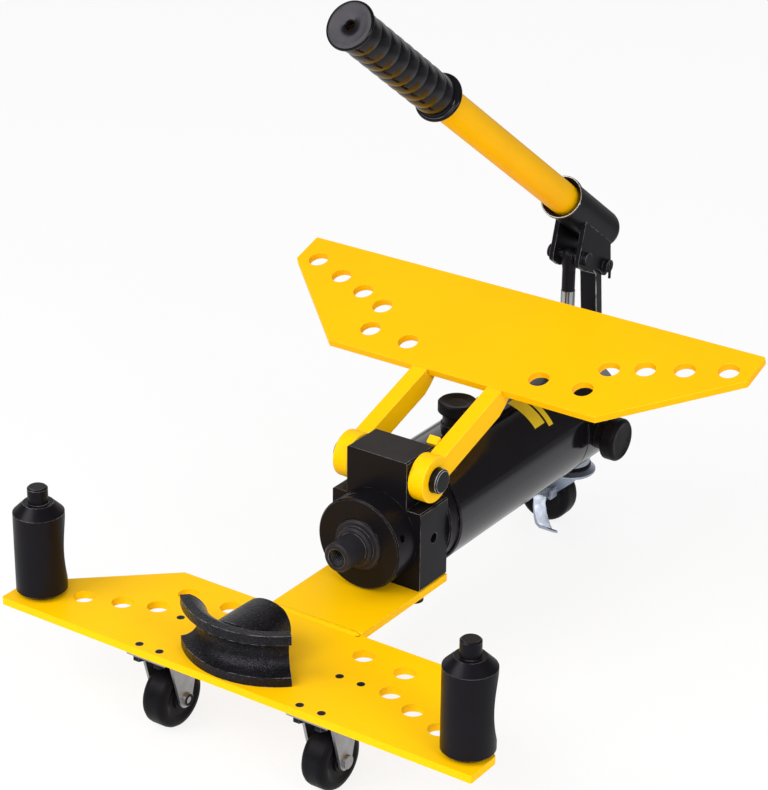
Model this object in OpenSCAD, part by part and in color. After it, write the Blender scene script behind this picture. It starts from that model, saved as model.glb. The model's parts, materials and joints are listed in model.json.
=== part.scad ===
// Hydraulic pipe bender with an open-wing frame, two pipe rollers, a bending former and a hand pump.
// Millimetres. The ram moves out toward -Y, +X is the right-hand side and +Z is up from the floor.

/* [Plates] */
// Thickness of the lower, upper and tongue plates
plate_t = 8; // [6:0.5:10]
// Half length of each plate along its front edge
plate_half_len = 270; // [268:1:290]
// Distance from the end of each plate to its outermost roller hole
hole_end = 24; // [22:0.5:30]
// Distance from the roller line to the front edge
plate_front = 31.7; // [28:0.1:40]
// Distance from the roller line to the end corner behind it
plate_end = 7.2; // [5:0.1:20]
// Share of the plate length that its rear edge covers
plate_back_share = 0.584; // [0.57:0.002:0.6]
// Distance from the roller line to the rear edge
plate_back = 110; // [106:1:116]
// Rounding of the plate corners
plate_round = 2; // [1:0.5:12]
// Diameter of the roller holes
hole_d = 21.5; // [21:0.1:23]
// Half width of the tongue plate
tongue_half = 53; // [52:0.5:58]
// Clear gap between the closed plates
plate_gap = 99; // [98:0.5:104]
// Turn of the upper plate from open to closed in degrees
open_turn = 161.8; // [150:0.1:162]

/* [Head] */
// Distance from the roller line to the head block
block_front = 211.5; // [208:0.5:216]
// Depth of the head block along the ram
block_len = 47; // [44:0.5:50]
// Half width of the block shoulders
block_half = 52; // [50:0.5:54]
// Height of the block shoulders above the lower plate
shoulder_h = 84; // [80:0.5:86]
// Half width of the block top
block_top_half = 35; // [32:0.5:36]
// Height of the block top above the lower plate
block_h = 134; // [132:0.5:140]
// Distance from the roller line to the arm pivot
pivot_back = 235.5; // [233:0.5:238]
// Height of the arm pivot above the lower plate
pivot_h = 112.4; // [111:0.1:114]
// Diameter of the arm pivot pins
pivot_d = 25; // [22:0.5:28]
// Distance from the mirror plane to the outer end of each pivot pin
pivot_end = 61; // [59:0.5:66]
// Diameter of the collar nut
collar_d = 95; // [92:1:97]
// Length of the collar nut
collar_len = 30; // [26:1:34]
// Diameter of the spanner holes
spanner_d = 8; // [6:0.5:9]

/* [Arms] */
// Thickness of each arm across the frame
arm_t = 17.6; // [15:0.1:19]
// Depth of each arm bar
arm_deep = 25.5; // [22:0.5:28]
// Diameter of the arm bosses
boss_d = 47; // [46:0.5:52]
// Length of the arm toe along the upper plate
arm_toe = 34; // [20:1:50]

/* [Cylinder] */
// Outer diameter of the reservoir tube
tube_d = 119; // [114:0.5:120]
// Wall thickness of the reservoir tube
tube_wall = 4; // [3:0.5:6]
// Distance from the roller line to the rear end of the tube
tube_end = 515; // [508:1:520]
// Length of the pump body behind the tube
pump_len = 88; // [80:1:92]
// Diameter of the ram
ram_d = 52; // [50:0.5:54]
// Diameter of the ram nose
nose_d = 31; // [30:0.5:32]
// Length of the ram nose
nose_len = 27; // [24:0.5:30]
// Diameter of the threaded hole in the nose
nose_hole_d = 19; // [16:0.5:21]

/* [Pump] */
// Distance from the roller line to the plunger
plunger_back = 562; // [560:0.5:564]
// Diameter of the pump plunger
plunger_d = 15; // [14:0.5:16]
// Distance from the roller line to the top link pin
link_top_back = 607; // [605:0.5:609]
// Height of the top link pin above the lower plate
link_top_h = 205; // [203:0.5:207]
// Height of the plunger pin above the top link pin
plunger_pin_rise = 22; // [20:0.5:24]
// Distance from the roller line to the bottom link pin
link_low_back = 616; // [614:0.5:618]
// Height of the bottom link pin above the lower plate
link_low_h = 118; // [116:0.5:120]
// Diameter of the lever pins
lever_pin_d = 8; // [7:0.5:9]
// Slope of the handle above the level in degrees
handle_slope = 36; // [30:0.5:42]
// Height of the handle line above the top link pin
handle_rise = 36; // [34:0.5:40]
// Diameter of the handle socket
socket_d = 42.4; // [40:0.1:44]
// Length of the handle socket behind its mouth
socket_len = 116; // [112:1:130]
// Distance from the top link pin to the socket mouth
socket_reach = 109; // [104:1:112]
// Diameter of the handle tube
handle_d = 33.7; // [30:0.1:34]
// Distance from the socket mouth to the end of the grip
handle_len = 468; // [430:1:500]
// Length of the grip
grip_len = 182; // [150:1:210]
// Diameter of the grip over its ribs
grip_d = 41; // [40:0.5:43]
// Number of grip ribs
grip_ribs = 9; // [6:1:12]
// Diameter of the filler cap
filler_d = 40; // [36:0.5:44]
// Distance from the roller line to the filler
filler_back = 353; // [345:1:358]
// Diameter of the release knob
knob_d = 46; // [40:0.5:48]
// Thickness of the release knob
knob_t = 16; // [12:0.5:20]

/* [Casters] */
// Height from the floor to the caster plates
caster_h = 88; // [86:0.5:94]
// Diameter of the caster wheels
wheel_d = 63; // [58:0.5:66]
// Width of the caster wheels
wheel_w = 27; // [24:0.5:28]
// Offset of the rear wheel axle from its swivel line
caster_trail = 26; // [20:0.5:28]
// Distance of the front casters from the mirror plane
caster_half = 93; // [90:0.5:102]
// Distance of the front casters behind the roller line
caster_back = 7; // [4:0.2:12]
// Distance from the roller line to the rear caster
rear_caster_back = 582; // [578:0.5:584]
// Heading of the rear caster in degrees
rear_heading = 180; // [170:1:190]

/* [Rollers and former] */
// Diameter of the rollers
roller_d = 50; // [46:0.5:52]
// Length of the rollers between the plates
roller_len = 97; // [94:0.5:97.5]
// Diameter of the roller pins
roller_pin_d = 20; // [18:0.1:20.5]
// Outer radius of the former
former_r = 91; // [88:0.5:94]
// Height of the former
former_h = 53; // [48:0.5:56]
// Outer diameter of the pipe that the former bends
pipe_d = 33.7; // [26:0.1:34]
// Angle that the former covers in degrees
former_sweep = 91; // [88:1:100]
// Turn of the former on the plate in degrees
former_turn = -0.5; // [-12:0.5:0]
// Distance from the roller line to the former centre
former_back = 61.5; // [58:0.5:66]
// Sideways place of the former centre
former_side = -7.6; // [-10:0.2:0]

/* [Hidden] */
$fn = 64;

// Overrun of a cutting body past the face that it cuts
over = 1;
// Radial clearance of a running fit
run_gap = 0.06;
// Clearance between parts that move past each other
move_gap = 0.4;
// Gap under parts that stand loose on the plate
rest_gap = 0.1;
yellow = [0.96, 0.74, 0.03];
black = [0.09, 0.09, 0.1];
zinc = [0.72, 0.74, 0.77];
steel = [0.62, 0.63, 0.65];
brass = [0.75, 0.6, 0.25];
rubber = [0.05, 0.05, 0.05];

// Roller holes of one side as shares of the pitch across and of the plate depth behind the roller line
hole_shares = [
    [1, 0],
    [0.836, 0.1364],
    [0.6866, 0.2564],
    [0.5516, 0.3791],
    [0.5142, 0.7055],
    [0.3167, 0.7345]
];
hole_half_pitch = plate_half_len - hole_end;
plate_back_half = plate_half_len * plate_back_share;
holes = [for (h = hole_shares) [hole_half_pitch * h[0], plate_back * h[1]]];
plate_half_outline = [
    [plate_half_len, -plate_front],
    [plate_half_len, plate_end],
    [plate_back_half, plate_back]
];
plate_outline = [
    for (p = plate_half_outline) p,
    for (i = [2:-1:0]) [-plate_half_outline[i][0], plate_half_outline[i][1]]
];

// Rounding of the socket's closed end, which is the rearmost point of the bender
socket_round = 12;
deck_z = caster_h + plate_t;
socket_share = [cos(handle_slope), sin(handle_slope)];
socket_rear_y = link_top_back + (socket_len - socket_reach - socket_round) * socket_share[0];
rear_reach = socket_rear_y + (handle_rise + socket_d / 2 - socket_round) * socket_share[1] + socket_round;
deck_y = (plate_front - rear_reach) / 2;

ram_z = plate_gap / 2;
block_back = block_front + block_len;
collar_front = block_front - collar_len;

// Ram end: how far it stands out of the collar, its stepped shoulder and its chamfers
ram_out = 3;
ram_step_d = 40;
ram_step_len = 6;
nose_hole_len = 30;
nose_tip_d = 30;
edge_c = 1.5;
ram_front = collar_front - ram_out;
nose_seat = ram_front - ram_step_len;
ram_tail_gap = 60;
ram_tail = tube_end - ram_tail_gap;
ram_hollow_d = 32;
ram_hollow_len = 180;

// Cylinder neck, bores and the lock ring
neck_d = 76;
bore_d = 56;
neck_wall_front = 8;
bush_len = 20;
wiper_len = 5;
seal_len = 12;
seal_groove = 1.2;
lock_d = 113;
lock_len = 14;
lock_gap = 0.6;
tube_front = block_back + lock_len + lock_gap;
tube_head = 12;
cyl_floor = 14;

// Pump body, valve and plunger details
pump_back = tube_end + pump_len;
seam_d = 115;
seam_len = 2;
pump_waist = 96;
pump_front_len = 54;
caster_pad = -plate_t;
valve_back = 541;
valve_h = 44;
valve_d = 30;
valve_stand = 10.5;
valve_out = tube_d / 2 + valve_stand;
spindle_d = 12;
knob_dish = 2;
gland_d = 34;
gland_h = 14;
gland_top = 124;
plunger_low = 70;
plunger_stroke = 18.5;
plunger_pin_h = link_top_h + plunger_pin_rise;
eye_len = 39.5;
chrome_top = plunger_pin_h - eye_len;
rod_d = 14;
eye_d = 16;
eye_slack = 0.9;
eye_lift = 0.55;
filler_neck_d = 30;
filler_lip_d = 34;
filler_lip_h = 5;
filler_neck_top = 132;
filler_h = 12;
filler_dish = 2;
filler_wall = 5;
knurl_d = 2.2;
knurl_n = 40;

// Lever linkage
cheek_in = 13;
cheek_t = 5;
link_w = 20;
link_t = 12;
link_round_d = 22;
ear_t = 7;
pin_head_d = 14;
pin_head_t = 5.5;
cotter_d = 3;
cotter_l = 20;
socket_wall = 3.2;
socket_mouth_d = 46.5;
socket_mouth_len = 3;
handle_wall = 3;
handle_in = 90;
grip_base_d = 38.5;
grip_flange_d = 49;
grip_end_d = 49;
grip_flange_t = 7;
grip_hole_d = 9;
grip_end_t = 8;
rib_w_share = 0.55;

// Weld bead between the lower plate and the tongue
bead_half = 4;
bead_deep = 4;
bead_crown = 1.6;

// Fasteners
bolt_d = 12;
bolt_head_d = 18;
bolt_head_h = 9;
bolt_half = 39;
bolt_rear_half = 30;
bolt_pitch_share = 0.27;
screw_d = 8;
screw_head_d = 13;
screw_head_h = 5;
screw_half_x = 12;
screw_half_y = 30.8;
side_hole_d = 11;
side_hole_len = 12;

arm_in = block_top_half + move_gap;
arm_out = arm_in + arm_t;
lug_r_in = 34;
lug_r_out = 43;
lug_t = 12;
lug_angle = 29;
lug_span = 24;

// Caster details, the same on all three
axle_z = wheel_d / 2;
axle_d = 8;
axle_head_d = 13;
axle_head_t = 3;
king_d = 12;
caster_sheet = 3;
caster_plate_x = 46;
caster_plate_y = 74;
race_h = 11;
race_d = 46;
race_flange_h = 5;
race_neck_d = 43;
fork_sheet = 3;
fork_d = 56;
fork_cup_h = 7;
leg_top_w = 44;
leg_low_d = 18;
side_gap = 1.5;
tread_round = 7;
hub_d = 24;
fork_z = caster_h - race_flange_h - race_h;
fork_inner = wheel_w / 2 + side_gap;
pedal_x = 15;
pedal_out = 8;
pedal_ear_half = 8;
pedal_ear_t = 3;
pedal_pin_z = 44;
pedal_pin_d = 5;
pedal_w = 22;
pedal_skew = 50;
pedal_steps = 8;
pedal_ear_share = 0.125;
pedal_t = 3;
pedal_len = 40;
pedal_lip = 8;
pedal_drop = 26;
pedal_eye_d = 10;

// Roller and former details
roller_out_top = 16.5;
roller_out_low = 2.6;
roller_cone = 10;
roller_cone_d = 30;
groove_d = 200;
groove_deep = 8;
left_groove = 64;
right_groove = 50;
former_land = 9;
former_horn = 18;
former_hub_d = 52;
former_hub_root_d = 60;
former_hub_back = 46;
former_hub_side = 4;
former_crown_d = 74;
former_crown_drop = 3;
former_socket_len = 28;

// Points of an outline with each corner rounded by an arc of short straight steps
function unit(a) = a / norm(a);
function corner_arc(a, p, b, r, n) =
    let (u = unit(a - p), w = unit(b - p))
    let (half = acos(u * w) / 2, mid = p + unit(u + w) * r / sin(half))
    let (s = p + u * r / tan(half) - mid, e = p + w * r / tan(half) - mid)
    let (a0 = atan2(s[1], s[0]), turn = atan2(s[0] * e[1] - s[1] * e[0], s * e))
    [for (i = [0:n]) mid + r * [cos(a0 + turn * i / n), sin(a0 + turn * i / n)]];
function rounded(pts, r, n = 6) = [
    for (i = [0:len(pts) - 1])
        each corner_arc(pts[(i + len(pts) - 1) % len(pts)], pts[i], pts[(i + 1) % len(pts)], r, n)
];

// Moves a shape from the roller line on the lower plate to the common frame
module on_deck() {
    translate([0, deck_y, deck_z])
        children();
}

// A round bar along +X, +Y or +Z from a start point
module bar_x(p, d, l) {
    translate(p)
        rotate([0, 90, 0])
            cylinder(d = d, h = l);
}

module bar_y(p, d, l) {
    translate(p)
        rotate([-90, 0, 0])
            cylinder(d = d, h = l);
}

module bar_z(p, d, l) {
    translate(p)
        cylinder(d = d, h = l);
}

module roller_holes(z, h) {
    for (s = [-1, 1], p = holes)
        bar_z([s * p[0], p[1], z], hole_d, h);
}

module plate_blank(z) {
    difference() {
        translate([0, 0, z])
            linear_extrude(plate_t)
                polygon(rounded(plate_outline, plate_round));
        roller_holes(z - over, plate_t + 2 * over);
    }
}

module bead_groove() {
    translate([-tongue_half - over, 0, 0])
        rotate([90, 0, 90])
            linear_extrude(2 * (tongue_half + over))
                polygon([
                    [plate_back - bead_half - bead_half / bead_deep * over, over],
                    [plate_back, -bead_deep],
                    [plate_back + bead_half + bead_half / bead_deep * over, over]
                ]);
}

module screw_places() {
    for (s = [-1, 1], i = [-1, 1], j = [-1, 1])
        translate([s * caster_half + i * screw_half_x, caster_back + j * screw_half_y, 0])
            children();
}

module bolt_places() {
    for (i = [-1, 1], j = [-1, 1])
        translate([
            i * (j < 0 ? bolt_half : bolt_rear_half),
            block_front + block_len / 2 + j * bolt_pitch_share * block_len,
            0
        ])
            children();
}

module lower_plate() {
    color(yellow)
        on_deck()
            difference() {
                plate_blank(-plate_t);
                bead_groove();
                screw_places()
                    translate([0, 0, -plate_t - over])
                        cylinder(d = screw_d + 2 * run_gap, h = plate_t + 2 * over);
            }
}

module tongue_plate() {
    color(yellow)
        on_deck()
            difference() {
                translate([-tongue_half, plate_back, -plate_t])
                    cube([2 * tongue_half, block_back - plate_back, plate_t]);
                bead_groove();
                bolt_places()
                    translate([0, 0, -plate_t - over])
                        cylinder(d = bolt_d + 2 * run_gap, h = plate_t + 2 * over);
            }
}

module weld_bead() {
    color(yellow)
        on_deck()
            translate([-tongue_half, 0, 0])
                rotate([90, 0, 90])
                    linear_extrude(2 * tongue_half)
                        polygon([
                            [plate_back - bead_half, 0],
                            [plate_back, -bead_deep],
                            [plate_back + bead_half, 0],
                            [plate_back + bead_half / 2, bead_crown],
                            [plate_back - bead_half / 2, bead_crown]
                        ]);
}

// The block's front outline, a shouldered T with broken edges
module block_outline() {
    polygon([
        [-block_half + edge_c, 0],
        [block_half - edge_c, 0],
        [block_half, edge_c],
        [block_half, shoulder_h - edge_c],
        [block_half - edge_c, shoulder_h],
        [block_top_half, shoulder_h],
        [block_top_half, block_h - edge_c],
        [block_top_half - edge_c, block_h],
        [-block_top_half + edge_c, block_h],
        [-block_top_half, block_h - edge_c],
        [-block_top_half, shoulder_h],
        [-block_half + edge_c, shoulder_h],
        [-block_half, shoulder_h - edge_c],
        [-block_half, edge_c]
    ]);
}

module head_block() {
    color(black)
        on_deck()
            difference() {
                translate([0, block_back, 0])
                    rotate([90, 0, 0])
                        linear_extrude(block_len)
                            block_outline();
                bar_y([0, block_front - over, ram_z], neck_d + 2 * run_gap, block_len + 2 * over);
                bar_x([-block_top_half - over, pivot_back, pivot_h], pivot_d, 2 * (block_top_half + over));
                for (s = [-1, 1])
                    bar_x([s * block_half - side_hole_len * (s + 1) / 2 + over * (s - 1) / 2,
                        block_front + block_len / 2, ram_z], side_hole_d, side_hole_len + over);
                bolt_places()
                    translate([0, 0, -over])
                        cylinder(d = bolt_d + 2 * run_gap, h = bolt_head_d + 2 * over);
            }
}

module block_bolts() {
    color(black)
        on_deck()
            bolt_places()
                translate([0, 0, -plate_t]) {
                    cylinder(d = bolt_d, h = plate_t + bolt_head_d);
                    translate([0, 0, -bolt_head_h])
                        cylinder(d = bolt_head_d, h = bolt_head_h);
                }
}

module pivot_pins() {
    color(black)
        on_deck()
            translate([-pivot_end, pivot_back, pivot_h])
                rotate([0, 90, 0])
                    rotate_extrude()
                        polygon([
                            [0, 0],
                            [pivot_d / 2 - edge_c, 0],
                            [pivot_d / 2, edge_c],
                            [pivot_d / 2, 2 * pivot_end - edge_c],
                            [pivot_d / 2 - edge_c, 2 * pivot_end],
                            [0, 2 * pivot_end]
                        ]);
}

// A body turned about the ram line, from [radius, distance behind the roller line] points
module ram_turned(points) {
    translate([0, 0, ram_z])
        rotate([-90, 0, 0])
            rotate_extrude()
                polygon(points);
}

module collar_nut() {
    color(black)
        on_deck()
            difference() {
                ram_turned([
                    [ram_d / 2 + move_gap, collar_front],
                    [collar_d / 2 - edge_c, collar_front],
                    [collar_d / 2, collar_front + edge_c],
                    [collar_d / 2, block_front],
                    [neck_d / 2, block_front],
                    [neck_d / 2, collar_front + neck_wall_front],
                    [ram_d / 2 + move_gap, collar_front + neck_wall_front]
                ]);
                for (a = [19:90:289])
                    translate([0, collar_front + collar_len / 3, ram_z])
                        rotate([0, -a, 0])
                            bar_x([collar_d / 2 - spanner_d, 0, 0], spanner_d, spanner_d + over);
            }
}

module lock_ring() {
    color(black)
        on_deck()
            difference() {
                ram_turned([
                    [neck_d / 2, block_back],
                    [lock_d / 2 - edge_c, block_back],
                    [lock_d / 2, block_back + edge_c],
                    [lock_d / 2, block_back + lock_len],
                    [neck_d / 2, block_back + lock_len]
                ]);
                for (a = [-35:90:235])
                    translate([0, block_back + lock_len / 2, ram_z])
                        rotate([0, -a, 0])
                            bar_x([lock_d / 2 - spanner_d, 0, 0], spanner_d, spanner_d + over);
            }
}

module pressure_cylinder() {
    color(steel)
        on_deck()
            ram_turned([
                [bore_d / 2, collar_front + neck_wall_front],
                [neck_d / 2, collar_front + neck_wall_front],
                [neck_d / 2, tube_end],
                [0, tube_end],
                [0, tube_end - cyl_floor],
                [bore_d / 2, tube_end - cyl_floor]
            ]);
}

module guide_bush() {
    color(brass)
        on_deck()
            ram_turned([
                [ram_d / 2 + run_gap, collar_front + neck_wall_front + wiper_len],
                [bore_d / 2, collar_front + neck_wall_front + wiper_len],
                [bore_d / 2, collar_front + neck_wall_front + wiper_len + bush_len],
                [ram_d / 2 + run_gap, collar_front + neck_wall_front + wiper_len + bush_len]
            ]);
}

module wiper_ring() {
    color(rubber)
        on_deck()
            ram_turned([
                [ram_d / 2 + run_gap, collar_front + neck_wall_front],
                [bore_d / 2, collar_front + neck_wall_front],
                [bore_d / 2, collar_front + neck_wall_front + wiper_len],
                [ram_d / 2 + run_gap, collar_front + neck_wall_front + wiper_len]
            ]);
}

module reservoir_tube() {
    color(black)
        on_deck()
            difference() {
                ram_turned([
                    [neck_d / 2, tube_front],
                    [tube_d / 2 - edge_c, tube_front],
                    [tube_d / 2, tube_front + edge_c],
                    [tube_d / 2, tube_end],
                    [tube_d / 2 - tube_wall, tube_end],
                    [tube_d / 2 - tube_wall, tube_front + tube_head],
                    [neck_d / 2, tube_front + tube_head]
                ]);
                bar_z([0, filler_back, ram_z], filler_neck_d, filler_neck_top);
            }
}

module pump_body() {
    color(black)
        on_deck()
            difference() {
                union() {
                    ram_turned([
                        [0, tube_end],
                        [seam_d / 2, tube_end],
                        [seam_d / 2, tube_end + seam_len],
                        [tube_d / 2, tube_end + seam_len],
                        [tube_d / 2, tube_end + pump_front_len],
                        [pump_waist / 2, pump_back],
                        [0, pump_back]
                    ]);
                    bar_z([0, plunger_back, ram_z], gland_d + 2 * edge_c, gland_top - ram_z);
                    translate([-pump_waist / 4, rear_caster_back - race_d / 2, caster_pad])
                        cube([pump_waist / 2, pump_back - rear_caster_back + race_d / 2, ram_z]);
                }
                translate([-tube_d, tube_end - over, caster_pad - tube_d])
                    cube([2 * tube_d, pump_len + 2 * over, tube_d]);
                bar_z([0, plunger_back, plunger_low - plunger_stroke - over], plunger_d + 2 * move_gap,
                    gland_top - plunger_low + plunger_stroke + 2 * over);
                bar_x([tube_d / 4, valve_back, valve_h], spindle_d + 2 * run_gap, tube_d);
                bar_z([0, rear_caster_back, caster_pad - over], king_d, ram_z / 2);
            }
}

module return_spring() {
    color(steel)
        on_deck()
            ram_turned([
                [ram_hollow_d / 2 - 3 * edge_c, ram_tail - ram_hollow_len + over],
                [ram_hollow_d / 2 - edge_c, ram_tail - ram_hollow_len + over],
                [ram_hollow_d / 2 - edge_c, tube_end - cyl_floor],
                [ram_hollow_d / 2 - 3 * edge_c, tube_end - cyl_floor]
            ]);
}

module filler_neck() {
    color(black)
        on_deck()
            difference() {
                union() {
                    bar_z([0, filler_back, ram_z + tube_d / 2 - tube_wall], filler_neck_d,
                        filler_neck_top - ram_z - tube_d / 2 + tube_wall);
                    bar_z([0, filler_back, ram_z + tube_d / 2], filler_lip_d, filler_lip_h);
                }
                bar_z([0, filler_back, ram_z], filler_neck_d - 2 * filler_wall, filler_neck_top);
            }
}

module filler_cap() {
    cap_low = filler_neck_top - filler_h / 2;
    color(black)
        on_deck()
            translate([0, filler_back, cap_low])
                difference() {
                    rotate_extrude()
                        polygon([
                            [0, filler_h / 2 + move_gap],
                            [filler_neck_d / 2 + move_gap, filler_h / 2 + move_gap],
                            [filler_neck_d / 2 + move_gap, 0],
                            [filler_d / 2 - edge_c, 0],
                            [filler_d / 2, edge_c],
                            [filler_d / 2, filler_h - edge_c],
                            [filler_d / 2 - edge_c, filler_h],
                            [filler_d / 2 - filler_dish, filler_h],
                            [filler_d / 4, filler_h - filler_dish],
                            [0, filler_h - filler_dish]
                        ]);
                    for (i = [1:knurl_n])
                        rotate(i * 360 / knurl_n)
                            translate([filler_d / 2 + knurl_d / 4, 0, -over])
                                cylinder(d = knurl_d, h = filler_h + 2 * over, $fn = 4);
                }
}

module valve_housing() {
    color(black)
        on_deck()
            difference() {
                bar_x([0, valve_back, valve_h], valve_d, valve_out - move_gap);
                ram_turned([
                    [0, tube_end],
                    [tube_d / 2, tube_end],
                    [tube_d / 2, pump_back],
                    [0, pump_back]
                ]);
                bar_x([0, valve_back, valve_h], spindle_d + 2 * run_gap, valve_out + over);
            }
}

module release_spindle() {
    color(steel)
        on_deck()
            bar_x([tube_d / 4 + move_gap, valve_back, valve_h], spindle_d,
                valve_out - tube_d / 4 - move_gap);
}

module release_knob() {
    color(black)
        on_deck()
            translate([valve_out, valve_back, valve_h])
                rotate([0, 90, 0])
                    rotate_extrude()
                        polygon([
                            [0, 0],
                            [knob_d / 2 - edge_c, 0],
                            [knob_d / 2, edge_c],
                            [knob_d / 2, knob_t - 2 * edge_c],
                            [knob_d / 2 - 2 * edge_c, knob_t],
                            [knob_d / 4, knob_t - knob_dish],
                            [0, knob_t - knob_dish]
                        ]);
}

module plunger_gland() {
    color(black)
        on_deck()
            difference() {
                bar_z([0, plunger_back, gland_top], gland_d, gland_h, $fn = 6);
                bar_z([0, plunger_back, gland_top - over], plunger_d + 2 * run_gap, gland_h + 2 * over);
            }
}

module fulcrum_bracket() {
    ear_in = link_w / 2 + move_gap;
    color(black)
        on_deck()
            difference() {
                union() {
                    translate([-ear_in - ear_t, pump_back, ram_z])
                        cube([2 * (ear_in + ear_t), link_t, link_low_h - ram_z - link_round_d * 2 / 3]);
                    for (x = [-ear_in - ear_t, ear_in]) {
                        translate([x, pump_back, ram_z])
                            cube([ear_t, link_low_back - pump_back, link_low_h - ram_z + link_round_d / 2]);
                        bar_x([x, link_low_back, link_low_h], link_round_d, ear_t);
                    }
                }
                bar_x([-block_half, link_low_back, link_low_h], lever_pin_d, 2 * block_half);
            }
}

// A lever pin along X with a head at each end
module lever_pin(y, z, half) {
    bar_x([-half, y, z], lever_pin_d, 2 * half);
    for (x = [-half - pin_head_t, half])
        bar_x([x, y, z], pin_head_d, pin_head_t);
}

module link_base_pin() {
    color(black)
        on_deck()
            lever_pin(link_low_back, link_low_h, link_w / 2 + move_gap + ear_t);
}

module fulcrum_link() {
    rise = [link_top_back - link_low_back, link_top_h - link_low_h];
    color(black)
        on_deck()
            translate([-link_w / 2, link_low_back, link_low_h])
                rotate([-atan2(rise[0], rise[1]), 0, 0])
                    difference() {
                        union() {
                            translate([0, -link_t / 2, 0])
                                cube([link_w, link_t, norm(rise)]);
                            for (z = [0, norm(rise)])
                                bar_x([0, 0, z], link_round_d, link_w);
                        }
                        for (z = [0, norm(rise)])
                            bar_x([-over, 0, z], lever_pin_d + 2 * run_gap, link_w + 2 * over);
                    }
}

module pump_plunger() {
    color(steel)
        on_deck()
            bar_z([0, plunger_back, plunger_low], plunger_d, chrome_top - plunger_low);
}

module plunger_eye() {
    slot_d = lever_pin_d + 2 * eye_lift;
    r = eye_d / 2;
    color(black)
        on_deck()
            translate([0, plunger_back, 0])
                difference() {
                    rotate_extrude()
                        polygon([
                            [0, chrome_top],
                            [rod_d / 2, chrome_top],
                            [rod_d / 2, plunger_pin_h - eye_d],
                            [r, plunger_pin_h - r],
                            for (a = [0:15:75]) [r * cos(a), plunger_pin_h + r * sin(a)],
                            [0, plunger_pin_h + r]
                        ]);
                    for (s = [-1, 1])
                        bar_x([-eye_d, s * eye_slack, plunger_pin_h], slot_d, 2 * eye_d);
                    translate([-eye_d, -eye_slack, plunger_pin_h - slot_d / 2])
                        cube([2 * eye_d, 2 * eye_slack, slot_d]);
                }
}

// Puts a shape drawn about the top link pin, handle toward -Y, at the handle's slope
module on_handle() {
    on_deck()
        translate([0, link_top_back, link_top_h])
            rotate([-handle_slope, 0, 0])
                children();
}

module handle_socket() {
    r = socket_d / 2;
    bore = r - socket_wall;
    mouth = socket_mouth_d / 2;
    color(black)
        on_handle()
            translate([0, -socket_reach, handle_rise])
                rotate([-90, 0, 0])
                    rotate_extrude()
                        polygon([
                            [mouth - edge_c, 0],
                            [mouth, socket_mouth_len / 2],
                            [mouth, socket_mouth_len],
                            [r, 2 * socket_mouth_len],
                            for (a = [0:15:90])
                                [r - socket_round + socket_round * cos(a),
                                    socket_len - socket_round + socket_round * sin(a)],
                            [0, socket_len],
                            [0, handle_in + over],
                            [bore, handle_in + over],
                            [bore, 2 * socket_mouth_len]
                        ]);
}

module socket_cheeks() {
    eye_local = [
        (plunger_back - link_top_back) * socket_share[0] - (plunger_pin_h - link_top_h) * socket_share[1],
        (plunger_back - link_top_back) * socket_share[1] + (plunger_pin_h - link_top_h) * socket_share[0]
    ];
    r = link_round_d / 2;
    color(black)
        on_handle()
            difference() {
                for (x = [-cheek_in - cheek_t, cheek_in]) {
                    translate([x, 0, 0])
                        rotate([90, 0, 90])
                            linear_extrude(cheek_t)
                                polygon(rounded([
                                    [eye_local[0] - r * 2 / 3, eye_local[1] - r],
                                    [eye_local[0] + r, eye_local[1] - r],
                                    [-r, -r * 3 / 4],
                                    [r, -r],
                                    [r * 2 / 3, handle_rise / 4],
                                    [-r * 3 / 2, handle_rise],
                                    [eye_local[0] - r * 5 / 2, handle_rise]
                                ], r / 2));
                }
                bar_y([0, -socket_reach - over, handle_rise], socket_d, socket_len + 2 * over);
                bar_x([-block_half, eye_local[0], eye_local[1]], lever_pin_d, 2 * block_half);
                bar_x([-block_half, 0, 0], lever_pin_d, 2 * block_half);
            }
}

module plunger_pin() {
    color(black)
        on_deck()
            lever_pin(plunger_back, plunger_pin_h, cheek_in + cheek_t);
}

module link_top_pin() {
    color(black)
        on_deck() {
            lever_pin(link_top_back, link_top_h, cheek_in + cheek_t);
            translate([cheek_in + cheek_t + pin_head_t, link_top_back, link_top_h - cotter_l * 2 / 3])
                cylinder(d = cotter_d, h = cotter_l);
        }
}

module handle_tube() {
    color(yellow)
        on_handle()
            difference() {
                bar_y([0, -socket_reach - handle_len + grip_end_t, handle_rise], handle_d,
                    handle_len - grip_end_t + handle_in);
                bar_y([0, -socket_reach - handle_len, handle_rise], handle_d - 2 * handle_wall,
                    handle_len + handle_in + over);
            }
}

module handle_grip() {
    pitch = (grip_len - 2 * grip_flange_t) / grip_ribs;
    inner = handle_d / 2;
    color(rubber)
        on_handle()
            translate([0, -socket_reach - handle_len, handle_rise])
                rotate([-90, 0, 0])
                    rotate_extrude()
                        polygon([
                            [inner, grip_end_t],
                            [grip_hole_d / 2, grip_end_t],
                            [grip_hole_d / 2, 0],
                            [grip_end_d / 2 - 2 * edge_c, 0],
                            [grip_end_d / 2, 2 * edge_c],
                            [grip_end_d / 2, grip_flange_t - edge_c],
                            [grip_base_d / 2, grip_flange_t],
                            for (i = [0:grip_ribs - 1]) each [
                                [grip_base_d / 2, grip_flange_t + pitch * (i + (1 - rib_w_share) / 2)],
                                [grip_d / 2, grip_flange_t + pitch * (i + 1 / 2 - rib_w_share / 4)],
                                [grip_d / 2, grip_flange_t + pitch * (i + 1 / 2 + rib_w_share / 4)],
                                [grip_base_d / 2, grip_flange_t + pitch * (i + (1 + rib_w_share) / 2)]
                            ],
                            [grip_base_d / 2, grip_len - grip_flange_t],
                            [grip_flange_d / 2, grip_len - grip_flange_t + edge_c],
                            [grip_flange_d / 2, grip_len],
                            [inner, grip_len]
                        ]);
}

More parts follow.
